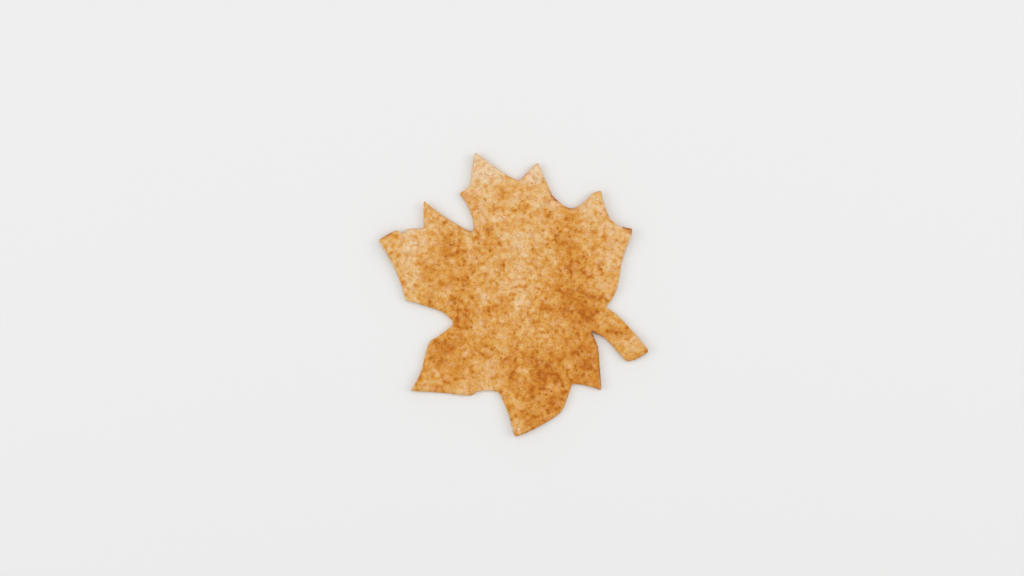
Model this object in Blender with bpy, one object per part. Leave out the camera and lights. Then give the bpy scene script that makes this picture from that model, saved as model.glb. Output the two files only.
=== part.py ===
"""A thin, crisp, leaf-shaped cookie with a stalk, dusted with cinnamon sugar.

The dough is rolled thin, cut by hand and baked. Its outline has sharp tips and clean
notches, its middle lies flat, and its rim and tips stand up a little. Low blisters lie
where the dough puffed, with shallow dips between them, and the largest sugar clumps sit
on top.

The origin is under the middle of the leaf's box, on the surface that the cookie lies on.
+Y points to the long top tip, +X to the side of the stalk, +Z up. The shape is worked out
in millimetres and turned into metres where its meshes are made.
"""

import math
from typing import NamedTuple

import bmesh
import bpy
import numpy as np
from mathutils import Matrix, Vector
from mathutils.geometry import delaunay_2d_cdt

MM = 0.001

# Dough, in millimetres
DOUGH_THICKNESS = 2.3
WALL_SHARE = 0.55
FOOT_SHARE = 0.2
SHOULDER_REACH = 1.2
FOOT_REACH = 0.5

# The cookie lies on a flat triangle under its middle, and its sheet rises evenly from there
BASE_CORNERS = ((-3.0, 38.0), (-22.0, -29.0), (27.0, -26.0))
BASE_SLOPE = 0.026
BASE_CLEARANCE = 5.0

# Waves of the top: length of a wave, its bearing in degrees, its height and its phase
RIPPLES = (
    (17.0, 25.0, 0.10, 0.4),
    (12.5, 118.0, 0.09, 2.1),
    (9.0, 71.0, 0.07, 4.0),
    (7.0, 160.0, 0.06, 1.2),
)

# A corner's rounding takes at most this share of a side
MOST_SOFT_SHARE = 0.45

# Spacing of the mesh's points
CUT_STEP = 1.6
CORNER_STEPS = 2
TOP_SPACING = 2.1
UNDER_SPACING = 3.4
SHOULDER_ROWS = (0.35, 1.2)
ROW_KEPT_DEPTH = 0.9
LATTICE_CLEARANCE = 0.55
FILL_TOLERANCE = 1e-5

# Sugar clumps
CLUMP_COUNT = 96
CLUMP_SEED = 41
CLUMP_TRIES = 14
CLUMP_DRAW_SURPLUS = 4
CLUMP_EDGE_CLEARANCE = 1.9
CLUMP_RADIUS = (0.42, 0.72)
CLUMP_STRETCH = (0.75, 1.0)
CLUMP_FLATNESS = 0.62
CLUMP_JITTER = 0.16
CLUMP_SINK = 0.28

# Baked dough under cinnamon sugar
CRUST_COLOUR = (0.66, 0.33, 0.085, 1.0)
CRUST_ROUGHNESS = 0.78

SMOOTH_ANGLE = math.radians(38)


class Corner(NamedTuple):
    """A corner of the cut, and how the cut runs on to the next one clockwise."""

    x: float
    y: float
    soft: float  # how much of each side the corner's rounding takes
    bow: float  # how far the next stretch of the cut stands outwards of a straight line


class Patch(NamedTuple):
    """A round patch of the sheet and how much it stands up, or down if negative."""

    x: float
    y: float
    reach: float
    rise: float


LOBES = {
    "top": (
        Corner(-14.5, 52.8, 1.1, -0.25),
        Corner(-0.9, 43.2, 1.5, 0.0),
        Corner(2.5, 42.3, 0.6, 0.4),
        Corner(8.9, 48.9, 0.8, 0.0),
        Corner(14.1, 36.8, 1.5, -0.45),
    ),
    "upper right": (
        Corner(21.1, 31.6, 1.5, -0.35),
        Corner(26.8, 35.0, 1.0, 0.0),
        Corner(29.2, 37.6, 1.0, 0.0),
        Corner(32.2, 38.5, 0.7, -0.55),
    ),
    "right": (
        Corner(35.9, 27.5, 1.5, -0.75),
        Corner(43.6, 24.5, 0.6, 0.0),
        Corner(43.4, 21.8, 0.9, -0.2),
        Corner(39.6, 11.5, 3.0, 0.25),
        Corner(37.6, 0.6, 2.0, 0.15),
    ),
    "stalk": (
        Corner(33.9, -4.5, 0.7, 0.05),
        Corner(38.2, -7.5, 2.5, 0.35),
        Corner(49.9, -20.9, 0.9, 0.5),
        Corner(41.8, -24.9, 1.6, 0.0),
        Corner(35.3, -17.5, 2.0, -0.4),
    ),
    "lower right": (
        Corner(28.6, -13.6, 0.6, 0.1),
        Corner(31.2, -19.6, 2.0, 0.0),
        Corner(32.4, -35.4, 0.9, -0.45),
    ),
    "bottom": (
        Corner(21.6, -32.9, 1.0, 0.15),
        Corner(17.7, -43.3, 1.8, 0.8),
        Corner(0.2, -52.7, 1.3, -0.8),
    ),
    "lower left": (
        Corner(-5.7, -35.9, 0.8, -0.3),
        Corner(-13.7, -35.8, 0.9, 0.0),
        Corner(-15.5, -37.3, 0.9, 0.25),
        Corner(-25.0, -36.4, 2.5, 0.0),
        Corner(-38.4, -35.5, 0.8, -0.5),
        Corner(-33.8, -27.0, 2.0, 0.35),
        Corner(-30.9, -17.1, 1.3, -0.4),
    ),
    "left": (
        Corner(-21.9, -10.6, 1.8, -0.1),
        Corner(-26.0, -6.5, 2.0, -0.3),
        Corner(-40.1, -2.1, 0.9, -1.3),
        Corner(-50.2, 20.1, 0.9, 0.1),
        Corner(-43.2, 24.0, 0.8, 0.0),
        Corner(-41.3, 22.5, 0.5, 0.0),
        Corner(-39.4, 24.3, 0.9, 0.0),
        Corner(-33.2, 24.5, 0.5, 0.0),
        Corner(-33.3, 34.7, 0.6, -0.75),
    ),
    "top's left side": (
        Corner(-15.4, 23.0, 1.1, 0.0),
        Corner(-14.7, 25.5, 1.5, -0.95),
        Corner(-20.2, 37.5, 0.6, -0.35),
        Corner(-15.9, 41.1, 1.6, 0.0),
    ),
}

# Tips that curl up further than the sheet around them
CURLS = (
    Patch(-14.5, 52.8, 17.0, 0.8),
    Patch(8.9, 49.0, 11.0, 0.4),
    Patch(32.3, 38.6, 14.0, 0.6),
    Patch(43.6, 24.5, 14.0, 0.8),
    Patch(47.0, -22.5, 16.0, 0.5),
    Patch(32.4, -35.4, 10.0, 0.4),
    Patch(0.2, -52.7, 16.0, 0.7),
    Patch(-38.4, -35.5, 15.0, 0.6),
    Patch(-50.2, 20.1, 16.0, 0.8),
    Patch(-33.3, 34.7, 11.0, 0.5),
)

# Blisters and dips of the top
SWELLS = (
    Patch(-9.4, 45.5, 7.0, 0.34),
    Patch(8.7, 44.0, 5.0, 0.22),
    Patch(-3.5, 33.0, 7.5, 0.20),
    Patch(-40.5, 15.5, 9.0, 0.38),
    Patch(-36.0, 27.0, 4.5, 0.16),
    Patch(2.4, 18.5, 8.0, 0.34),
    Patch(2.0, -3.5, 7.0, 0.26),
    Patch(31.5, 29.5, 6.5, 0.32),
    Patch(33.0, 8.5, 8.0, 0.38),
    Patch(-9.0, -25.0, 6.5, 0.30),
    Patch(-19.0, -32.5, 7.5, 0.28),
    Patch(-34.0, -31.5, 5.0, 0.22),
    Patch(-8.5, 4.0, 5.5, 0.18),
    Patch(44.5, -19.5, 5.0, 0.24),
    Patch(4.0, -46.5, 5.0, 0.22),
    Patch(27.5, -30.5, 5.0, 0.16),
    Patch(-24.2, 18.5, 7.0, -0.26),
    Patch(-17.9, 8.0, 6.5, -0.26),
    Patch(-19.8, -7.4, 7.0, -0.24),
    Patch(23.0, 6.0, 8.5, -0.30),
    Patch(22.5, -6.5, 7.0, -0.28),
    Patch(11.5, -29.5, 8.0, -0.30),
    Patch(6.5, -38.0, 5.0, -0.22),
    Patch(-28.5, -19.0, 5.5, -0.20),
    Patch(-2.4, -24.8, 4.5, -0.16),
    Patch(26.0, -23.0, 6.5, -0.20),
    Patch(16.5, 22.5, 6.5, -0.20),
    Patch(38.0, -13.0, 4.5, -0.16),
)


def bowed_cut(start, end, bow, near, far, step):
    """Return points of the cut between two corners, on a shallow parabola.

    Its middle stands bow off the straight line. near and far are the lengths at its two
    ends that the corners' roundings take.
    """
    run = end - start
    length = math.hypot(*run)
    outward = np.array((-run[1], run[0])) / length
    near = min(near, MOST_SOFT_SHARE * length)
    far = min(far, MOST_SOFT_SHARE * length)
    count = max(2, round((length - near - far) / step) + 1)
    t = np.linspace(near / length, 1 - far / length, count)[:, None]
    return start + run * t + outward * bow * 4 * t * (1 - t)


def rounded_corner(before, corner, after, steps):
    """Return the points between two cuts' ends, on a curve drawn towards the corner."""
    t = np.linspace(0, 1, steps + 2)[1:-1, None]
    return (1 - t) ** 2 * before + 2 * t * (1 - t) * corner + t ** 2 * after


def leaf_outline(step, corner_steps):
    """Return the leaf's outline, anticlockwise, with its box centred on the origin."""
    corners = [corner for lobe in LOBES.values() for corner in lobe]
    places = [np.array((corner.x, corner.y)) for corner in corners]
    count = len(corners)
    cuts = []
    for i, corner in enumerate(corners):
        j = (i + 1) % count
        cuts.append(bowed_cut(places[i], places[j], corner.bow, corner.soft, corners[j].soft, step))
    points = []
    for i, cut in enumerate(cuts):
        j = (i + 1) % count
        points.append(cut)
        points.append(rounded_corner(cut[-1], places[j], cuts[j][0], corner_steps))
    outline = np.concatenate(points)[::-1]
    return outline - (outline.min(axis=0) + outline.max(axis=0)) / 2


def depth_inside(points, outline):
    """Return how far inside the outline each point lies, negative where it is outside."""
    ends = np.roll(outline, -1, axis=0)
    runs = ends - outline
    offsets = points[:, None, :] - outline[None, :, :]
    along = np.clip((offsets * runs).sum(axis=2) / (runs ** 2).sum(axis=1), 0, 1)
    distance = np.linalg.norm(offsets - along[:, :, None] * runs, axis=2).min(axis=1)
    height = points[:, None, 1]
    crossed = (outline[:, 1] > height) != (ends[:, 1] > height)
    rise = np.where(runs[:, 1] == 0, 1.0, runs[:, 1])
    crossing = outline[:, 0] + (height - outline[:, 1]) / rise * runs[:, 0]
    inside = (crossed & (points[:, None, 0] < crossing)).sum(axis=1) % 2 == 1
    return np.where(inside, distance, -distance)


def ease(share):
    """Return a smooth step from 0 to 1 as share goes from 0 to 1."""
    share = np.clip(share, 0, 1)
    return share ** 2 * (3 - 2 * share)


def quarter_round(share):
    """Return the height of a quarter circle, from 0 at its foot to 1 at its crown."""
    share = np.clip(share, 0, 1)
    return np.sqrt(1 - (1 - share) ** 2)


def patch_heights(patches, x, y):
    """Return the sum of smooth round bumps, each 0 at its reach and full in its middle."""
    total = np.zeros_like(x)
    for patch in patches:
        away = np.hypot(x - patch.x, y - patch.y) / patch.reach
        total = total + patch.rise * ease(1 - away)
    return total


def beyond_base(x, y):
    """Return how far each point lies outside the base triangle's nearest side line."""
    beyond = np.zeros_like(x)
    for i, start in enumerate(BASE_CORNERS):
        end = BASE_CORNERS[(i + 1) % len(BASE_CORNERS)]
        run_x, run_y = end[0] - start[0], end[1] - start[1]
        outwards = (run_y * (x - start[0]) - run_x * (y - start[1])) / math.hypot(run_x, run_y)
        beyond = np.maximum(beyond, outwards)
    return beyond


def underside_height(x, y):
    """Return the sheet's lift: none on the base, then a steady rise and the tips' curls."""
    return BASE_SLOPE * beyond_base(x, y) + patch_heights(CURLS, x, y)


def sheet_thickness(x, y):
    """Return the dough's thickness with its ripples, blisters and dips."""
    thickness = DOUGH_THICKNESS + patch_heights(SWELLS, x, y)
    for wavelength, bearing, height, phase in RIPPLES:
        turn = math.radians(bearing)
        along = x * math.cos(turn) + y * math.sin(turn)
        thickness = thickness + height * np.sin(2 * math.pi * along / wavelength + phase)
    return thickness


def top_height(x, y, depth):
    """Return the top's height, which rounds over to the wall near the cut edge."""
    share = WALL_SHARE + (1 - WALL_SHARE) * quarter_round(depth / SHOULDER_REACH)
    return underside_height(x, y) + sheet_thickness(x, y) * share


def foot_height(x, y, depth):
    """Return the underside's height, which rounds up to the wall near the cut edge."""
    share = FOOT_SHARE * (1 - quarter_round(depth / FOOT_REACH))
    return underside_height(x, y) + sheet_thickness(x, y) * share


def inset_row(outline, distance):
    """Return the outline's points moved inwards, less those that come too near a cut."""
    along = np.roll(outline, -1, axis=0) - np.roll(outline, 1, axis=0)
    inward = np.stack((-along[:, 1], along[:, 0]), axis=1)
    inward /= np.linalg.norm(inward, axis=1)[:, None]
    row = outline + inward * distance
    return row[depth_inside(row, outline) > ROW_KEPT_DEPTH * distance]


def lattice(outline, spacing, clearance):
    """Return the points of a triangular lattice that lie well inside the outline."""
    low = outline.min(axis=0)
    high = outline.max(axis=0)
    row_gap = spacing * math.sqrt(3) / 2
    rows = np.arange(low[1], high[1], row_gap)
    columns = np.arange(low[0], high[0], spacing)
    x, y = np.meshgrid(columns, rows)
    x[1::2] += spacing / 2
    points = np.stack((x.ravel(), y.ravel()), axis=1)
    return points[depth_inside(points, outline) > clearance]


def fill_outline(outline, inner, sides):
    """Return points and triangles that fill the outline, with the outline's points first.

    sides are pairs of point numbers, counted with the outline's points before the inner
    ones, that the triangles keep as edges.
    """
    points = [Vector(point) for point in np.concatenate((outline, inner))]
    border = list(range(len(outline)))
    inside_only = 1
    filled = delaunay_2d_cdt(points, sides, [border], inside_only, FILL_TOLERANCE)
    return np.array(filled[0]), [tuple(face) for face in filled[2]]


def top_sheet(outline):
    """Return the top's points and triangles: two rows along the cut and an even lattice."""
    rows = [inset_row(outline, depth) for depth in SHOULDER_ROWS]
    clearance = SHOULDER_ROWS[-1] + LATTICE_CLEARANCE * TOP_SPACING
    inner = np.concatenate((*rows, lattice(outline, TOP_SPACING, clearance)))
    return fill_outline(outline, inner, [])


def under_sheet(outline):
    """Return the underside's points and triangles, with the base as one flat triangle."""
    row = inset_row(outline, FOOT_REACH)
    clearance = FOOT_REACH + LATTICE_CLEARANCE * UNDER_SPACING
    rising = lattice(outline, UNDER_SPACING, clearance)
    rising = rising[beyond_base(rising[:, 0], rising[:, 1]) > BASE_CLEARANCE]
    first = len(outline)
    sides = [(first, first + 1), (first + 1, first + 2), (first + 2, first)]
    return fill_outline(outline, np.concatenate((BASE_CORNERS, row, rising)), sides)


def add_sheet(mesh, points, triangles, heights, facing_up):
    """Add a triangulated sheet to a bmesh at the given heights and return its vertices."""
    vertices = [
        mesh.verts.new((x * MM, y * MM, z * MM)) for (x, y), z in zip(points, heights)
    ]
    for a, b, c in triangles:
        corners = (a, b, c) if facing_up else (c, b, a)
        mesh.faces.new([vertices[corner] for corner in corners])
    return vertices


def make_dough(outline):
    """Return the bare cookie: its top, its underside and the cut wall between them."""
    top_points, top_triangles = top_sheet(outline)
    foot_points, foot_triangles = under_sheet(outline)
    top_depths = np.maximum(depth_inside(top_points, outline), 0)
    foot_depths = np.maximum(depth_inside(foot_points, outline), 0)
    border = len(outline)
    top_depths[:border] = 0
    foot_depths[:border] = 0

    mesh = bmesh.new()
    top_heights = top_height(top_points[:, 0], top_points[:, 1], top_depths)
    foot_heights = foot_height(foot_points[:, 0], foot_points[:, 1], foot_depths)
    top = add_sheet(mesh, top_points, top_triangles, top_heights, True)
    foot = add_sheet(mesh, foot_points, foot_triangles, foot_heights, False)
    for i in range(border):
        j = (i + 1) % border
        mesh.faces.new((foot[i], foot[j], top[j], top[i]))
    bmesh.ops.triangulate(mesh, faces=mesh.faces[:])

    data = bpy.data.meshes.new("cookie")
    mesh.to_mesh(data)
    mesh.free()
    dough = bpy.data.objects.new("cookie", data)
    bpy.context.scene.collection.objects.link(dough)
    return dough


def clump_places(outline, rng):
    """Return evenly spread places: of several random draws, the one farthest from the rest."""
    low = outline.min(axis=0)
    high = outline.max(axis=0)
    draws = rng.uniform(low, high, (CLUMP_COUNT * CLUMP_TRIES * CLUMP_DRAW_SURPLUS, 2))
    draws = list(draws[depth_inside(draws, outline) > CLUMP_EDGE_CLEARANCE])
    places = [draws.pop()]
    while len(places) < CLUMP_COUNT:
        candidates = [draws.pop() for _ in range(CLUMP_TRIES)]
        taken = np.array(places)
        gaps = [np.linalg.norm(taken - candidate, axis=1).min() for candidate in candidates]
        places.append(candidates[int(np.argmax(gaps))])
    return places


def make_clump(index, place, rng, collection):
    """Add one low, uneven clump of cinnamon sugar, half sunk in the top."""
    radius = rng.uniform(*CLUMP_RADIUS)
    stretch = rng.uniform(*CLUMP_STRETCH)
    turn = rng.uniform(0, math.tau)
    x, y = place
    deep = np.array(SHOULDER_REACH)
    z = float(top_height(np.array(x), np.array(y), deep)) + radius * CLUMP_FLATNESS * CLUMP_SINK

    mesh = bmesh.new()
    bmesh.ops.create_icosphere(mesh, subdivisions=1, radius=1.0)
    for vertex in mesh.verts:
        vertex.co *= 1 + rng.uniform(-CLUMP_JITTER, CLUMP_JITTER)
    shape = Matrix.Diagonal((radius, radius * stretch, radius * CLUMP_FLATNESS, 1.0))
    place_it = Matrix.Translation((x, y, z)) @ Matrix.Rotation(turn, 4, "Z")
    mesh.transform(Matrix.Scale(MM, 4) @ place_it @ shape)
    name = f"sugar_clump_{index:03d}"
    data = bpy.data.meshes.new(name)
    mesh.to_mesh(data)
    mesh.free()
    collection.objects.link(bpy.data.objects.new(name, data))


def fuse_clumps(dough, outline):
    """Join the sugar clumps to the dough with one union, and remove their own objects."""
    rng = np.random.default_rng(CLUMP_SEED)
    collection = bpy.data.collections.new("sugar_clumps")
    bpy.context.scene.collection.children.link(collection)
    for index, place in enumerate(clump_places(outline, rng)):
        make_clump(index, place, rng, collection)

    union = dough.modifiers.new("fused_sugar", "BOOLEAN")
    union.operation = "UNION"
    union.solver = "EXACT"
    union.operand_type = "COLLECTION"
    union.collection = collection
    depsgraph = bpy.context.evaluated_depsgraph_get()
    fused = bpy.data.meshes.new_from_object(dough.evaluated_get(depsgraph))
    dough.modifiers.clear()
    dough.data = fused
    for clump in list(collection.objects):
        bpy.data.objects.remove(clump, do_unlink=True)
    bpy.data.collections.remove(collection)


def crust_material():
    """Return the plain baked finish of the solid."""
    material = bpy.data.materials.new("cinnamon_crust")
    material.use_nodes = True
    shader = material.node_tree.nodes["Principled BSDF"]
    shader.inputs["Base Color"].default_value = CRUST_COLOUR
    shader.inputs["Roughness"].default_value = CRUST_ROUGHNESS
    shader.inputs["Metallic"].default_value = 0.0
    return material


def build_cookie():
    """Build the whole cookie as one solid."""
    outline = leaf_outline(CUT_STEP, CORNER_STEPS)
    cookie = make_dough(outline)
    fuse_clumps(cookie, outline)
    cookie.data.materials.clear()
    cookie.data.materials.append(crust_material())
    cookie.data.shade_smooth()
    cookie.data.set_sharp_from_angle(angle=SMOOTH_ANGLE)
    return cookie


for old_object in list(bpy.data.objects):
    bpy.data.objects.remove(old_object, do_unlink=True)

build_cookie()
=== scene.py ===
"""Looks of a thin, crisp, leaf-shaped cookie with a stalk, dusted with cinnamon sugar.

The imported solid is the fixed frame. A fine sheet with the same outline, curls, blisters and
dips stands for it. Sugar crystals, grains of cinnamon, baked clumps and dark caramel specks
lie on that sheet as true shapes. Everything is worked out in millimetres, +Y to the long
top tip and +Z up, and turned into metres where a mesh, a lamp or the camera is made.
"""

import logging
import math
from collections.abc import Mapping, Sequence
from dataclasses import dataclass, field
from enum import Enum

import bpy
import numpy as np
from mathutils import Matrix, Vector
from mathutils.geometry import delaunay_2d_cdt
from numpy.typing import NDArray

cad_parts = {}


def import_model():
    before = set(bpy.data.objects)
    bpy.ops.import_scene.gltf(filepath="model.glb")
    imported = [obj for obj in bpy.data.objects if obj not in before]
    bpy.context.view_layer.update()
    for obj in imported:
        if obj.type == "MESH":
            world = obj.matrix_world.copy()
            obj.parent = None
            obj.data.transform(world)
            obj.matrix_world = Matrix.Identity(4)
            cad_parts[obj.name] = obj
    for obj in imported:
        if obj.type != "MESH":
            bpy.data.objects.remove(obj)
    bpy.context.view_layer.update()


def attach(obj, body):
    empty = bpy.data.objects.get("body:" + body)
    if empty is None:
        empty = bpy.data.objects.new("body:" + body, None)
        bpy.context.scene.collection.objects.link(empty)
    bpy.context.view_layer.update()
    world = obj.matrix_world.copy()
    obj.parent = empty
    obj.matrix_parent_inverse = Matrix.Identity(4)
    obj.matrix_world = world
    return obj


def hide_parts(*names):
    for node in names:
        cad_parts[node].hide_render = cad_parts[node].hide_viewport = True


Floats = NDArray[np.float64]
Whole = NDArray[np.int64]
Bits = tuple[int, int, int]
Point = tuple[float, float]
Place = tuple[float, float, float]
Linear = tuple[float, float, float, float]

MM = 0.001
NODE = "cookie"
BODY = "root"

log = logging.getLogger("cinnamon_cookie")


@dataclass(frozen=True)
class Corner:
    """A corner of the cut, and how the cut runs on to the next one clockwise."""

    x: float
    y: float
    soft: float
    bow: float


@dataclass(frozen=True)
class Patch:
    """A round patch of the sheet and how much of something it adds in its middle."""

    x: float
    y: float
    reach: float
    rise: float


LOBES: dict[str, tuple[Corner, ...]] = {
    "top": (
        Corner(-14.5, 52.8, 1.1, -0.25),
        Corner(-0.9, 43.2, 1.5, 0.0),
        Corner(2.5, 42.3, 0.6, 0.4),
        Corner(8.9, 48.9, 0.8, 0.0),
        Corner(14.1, 36.8, 1.5, -0.45),
    ),
    "upper right": (
        Corner(21.1, 31.6, 1.5, -0.35),
        Corner(26.8, 35.0, 1.0, 0.0),
        Corner(29.2, 37.6, 1.0, 0.0),
        Corner(32.2, 38.5, 0.7, -0.55),
    ),
    "right": (
        Corner(35.9, 27.5, 1.5, -0.75),
        Corner(43.6, 24.5, 0.6, 0.0),
        Corner(43.4, 21.8, 0.9, -0.2),
        Corner(39.6, 11.5, 3.0, 0.25),
        Corner(37.6, 0.6, 2.0, 0.15),
    ),
    "stalk": (
        Corner(33.9, -4.5, 0.7, 0.05),
        Corner(38.2, -7.5, 2.5, 0.35),
        Corner(49.9, -20.9, 0.9, 0.5),
        Corner(41.8, -24.9, 1.6, 0.0),
        Corner(35.3, -17.5, 2.0, -0.4),
    ),
    "lower right": (
        Corner(28.6, -13.6, 0.6, 0.1),
        Corner(31.2, -19.6, 2.0, 0.0),
        Corner(32.4, -35.4, 0.9, -0.45),
    ),
    "bottom": (
        Corner(21.6, -32.9, 1.0, 0.15),
        Corner(17.7, -43.3, 1.8, 0.8),
        Corner(0.2, -52.7, 1.3, -0.8),
    ),
    "lower left": (
        Corner(-5.7, -35.9, 0.8, -0.3),
        Corner(-13.7, -35.8, 0.9, 0.0),
        Corner(-15.5, -37.3, 0.9, 0.25),
        Corner(-25.0, -36.4, 2.5, 0.0),
        Corner(-38.4, -35.5, 0.8, -0.5),
        Corner(-33.8, -27.0, 2.0, 0.35),
        Corner(-30.9, -17.1, 1.3, -0.4),
    ),
    "left": (
        Corner(-21.9, -10.6, 1.8, -0.1),
        Corner(-26.0, -6.5, 2.0, -0.3),
        Corner(-40.1, -2.1, 0.9, -1.3),
        Corner(-50.2, 20.1, 0.9, 0.1),
        Corner(-43.2, 24.0, 0.8, 0.0),
        Corner(-41.3, 22.5, 0.5, 0.0),
        Corner(-39.4, 24.3, 0.9, 0.0),
        Corner(-33.2, 24.5, 0.5, 0.0),
        Corner(-33.3, 34.7, 0.6, -0.75),
    ),
    "top's left side": (
        Corner(-15.4, 23.0, 1.1, 0.0),
        Corner(-14.7, 25.5, 1.5, -0.95),
        Corner(-20.2, 37.5, 0.6, -0.35),
        Corner(-15.9, 41.1, 1.6, 0.0),
    ),
}

# Tips that curl up further than the sheet around them
CURLS: tuple[Patch, ...] = (
    Patch(-14.5, 52.8, 17.0, 0.8),
    Patch(8.9, 49.0, 11.0, 0.4),
    Patch(32.3, 38.6, 14.0, 0.6),
    Patch(43.6, 24.5, 14.0, 0.8),
    Patch(47.0, -22.5, 16.0, 0.5),
    Patch(32.4, -35.4, 10.0, 0.4),
    Patch(0.2, -52.7, 16.0, 0.7),
    Patch(-38.4, -35.5, 15.0, 0.6),
    Patch(-50.2, 20.1, 16.0, 0.8),
    Patch(-33.3, 34.7, 11.0, 0.5),
)

# Blisters and dips of the top
SWELLS: tuple[Patch, ...] = (
    Patch(-9.4, 45.5, 7.0, 0.34),
    Patch(8.7, 44.0, 5.0, 0.22),
    Patch(-3.5, 33.0, 7.5, 0.20),
    Patch(-40.5, 15.5, 9.0, 0.38),
    Patch(-36.0, 27.0, 4.5, 0.16),
    Patch(2.4, 18.5, 8.0, 0.34),
    Patch(2.0, -3.5, 7.0, 0.26),
    Patch(31.5, 29.5, 6.5, 0.32),
    Patch(33.0, 8.5, 8.0, 0.38),
    Patch(-9.0, -25.0, 6.5, 0.30),
    Patch(-19.0, -32.5, 7.5, 0.28),
    Patch(-34.0, -31.5, 5.0, 0.22),
    Patch(-8.5, 4.0, 5.5, 0.18),
    Patch(44.5, -19.5, 5.0, 0.24),
    Patch(4.0, -46.5, 5.0, 0.22),
    Patch(27.5, -30.5, 5.0, 0.16),
    Patch(-24.2, 18.5, 7.0, -0.26),
    Patch(-17.9, 8.0, 6.5, -0.26),
    Patch(-19.8, -7.4, 7.0, -0.24),
    Patch(23.0, 6.0, 8.5, -0.30),
    Patch(22.5, -6.5, 7.0, -0.28),
    Patch(11.5, -29.5, 8.0, -0.30),
    Patch(6.5, -38.0, 5.0, -0.22),
    Patch(-28.5, -19.0, 5.5, -0.20),
    Patch(-2.4, -24.8, 4.5, -0.16),
    Patch(26.0, -23.0, 6.5, -0.20),
    Patch(16.5, 22.5, 6.5, -0.20),
    Patch(38.0, -13.0, 4.5, -0.16),
)

# Where the dusting is thin and the pale sugar shows
THIN_DUSTING: tuple[Patch, ...] = (
    Patch(-13.0, 47.0, 15.0, -0.50),
    Patch(7.5, 45.5, 9.0, -0.52),
    Patch(0.5, 36.5, 6.0, -0.14),
    Patch(13.0, 34.5, 6.0, -0.20),
    Patch(-6.0, 28.0, 9.0, -0.10),
    Patch(9.0, 21.0, 5.5, -0.18),
    Patch(2.5, 18.5, 8.5, -0.22),
    Patch(13.0, 13.5, 5.0, -0.16),
    Patch(2.5, 6.0, 11.0, -0.18),
    Patch(-14.0, -2.0, 6.5, -0.12),
    Patch(0.0, -2.0, 5.0, -0.18),
    Patch(4.5, -4.0, 7.5, -0.16),
    Patch(3.5, -11.0, 7.0, -0.16),
    Patch(-11.0, -9.0, 6.0, -0.14),
    Patch(-2.5, -19.0, 7.5, -0.16),
    Patch(3.5, -28.5, 4.0, -0.16),
    Patch(21.0, -28.0, 7.0, -0.20),
    Patch(-9.0, -32.0, 7.5, -0.22),
    Patch(-18.0, -36.0, 6.0, -0.14),
    Patch(-37.5, 15.5, 8.0, -0.18),
    Patch(-38.0, 22.5, 7.0, -0.26),
    Patch(-37.0, 6.0, 7.0, -0.18),
    Patch(28.5, 33.0, 7.0, -0.30),
    Patch(33.5, 25.5, 6.5, -0.14),
    Patch(40.5, 22.0, 9.0, -0.18),
    Patch(36.5, 13.5, 7.0, -0.24),
    Patch(32.5, 3.0, 6.5, -0.17),
    Patch(43.5, -19.0, 7.0, -0.20),
    Patch(0.5, -49.5, 7.0, -0.26),
)

# Where more cinnamon fell
THICK_DUSTING: tuple[Patch, ...] = (
    Patch(-14.5, 38.5, 6.5, 0.16),
    Patch(14.5, 28.0, 5.0, 0.12),
    Patch(-9.0, 23.0, 6.5, 0.20),
    Patch(-24.5, 17.0, 8.5, 0.30),
    Patch(-19.0, 13.0, 6.0, 0.20),
    Patch(-30.5, 9.0, 6.5, 0.28),
    Patch(-17.0, 4.5, 6.5, 0.20),
    Patch(-23.0, 4.0, 7.5, 0.18),
    Patch(-31.0, -4.0, 7.0, 0.20),
    Patch(-19.0, -5.5, 9.0, 0.26),
    Patch(-7.5, -6.0, 6.5, 0.20),
    Patch(-17.5, -15.5, 7.5, 0.18),
    Patch(-24.5, -20.0, 8.5, 0.33),
    Patch(-9.0, -19.0, 6.0, 0.22),
    Patch(-30.5, -25.5, 6.0, 0.18),
    Patch(-19.5, -28.5, 6.0, 0.14),
    Patch(20.0, 27.5, 7.0, 0.16),
    Patch(15.5, 19.0, 5.5, 0.14),
    Patch(21.5, 20.0, 6.0, 0.14),
    Patch(22.5, 12.5, 8.0, 0.30),
    Patch(15.5, 8.0, 5.0, 0.22),
    Patch(9.0, 0.0, 6.5, 0.12),
    Patch(12.5, -5.5, 5.5, 0.18),
    Patch(16.0, 2.0, 5.0, 0.20),
    Patch(26.5, 0.5, 5.5, 0.18),
    Patch(22.0, -4.0, 14.0, 0.18),
    Patch(19.0, -5.0, 6.0, 0.16),
    Patch(26.5, -7.0, 7.0, 0.26),
    Patch(25.5, -13.5, 6.0, 0.14),
    Patch(38.5, -14.0, 6.0, 0.14),
    Patch(25.0, -22.5, 11.0, 0.30),
    Patch(31.5, -30.0, 6.5, 0.20),
    Patch(23.5, -32.0, 8.0, 0.26),
    Patch(7.0, -22.5, 6.5, 0.16),
    Patch(-0.5, -24.5, 7.0, 0.20),
    Patch(0.5, -32.5, 6.0, 0.20),
    Patch(12.5, -28.0, 9.0, 0.34),
    Patch(7.5, -35.5, 6.5, 0.26),
    Patch(15.0, -39.5, 7.5, 0.20),
    Patch(7.5, -46.5, 7.5, 0.24),
)

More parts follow.
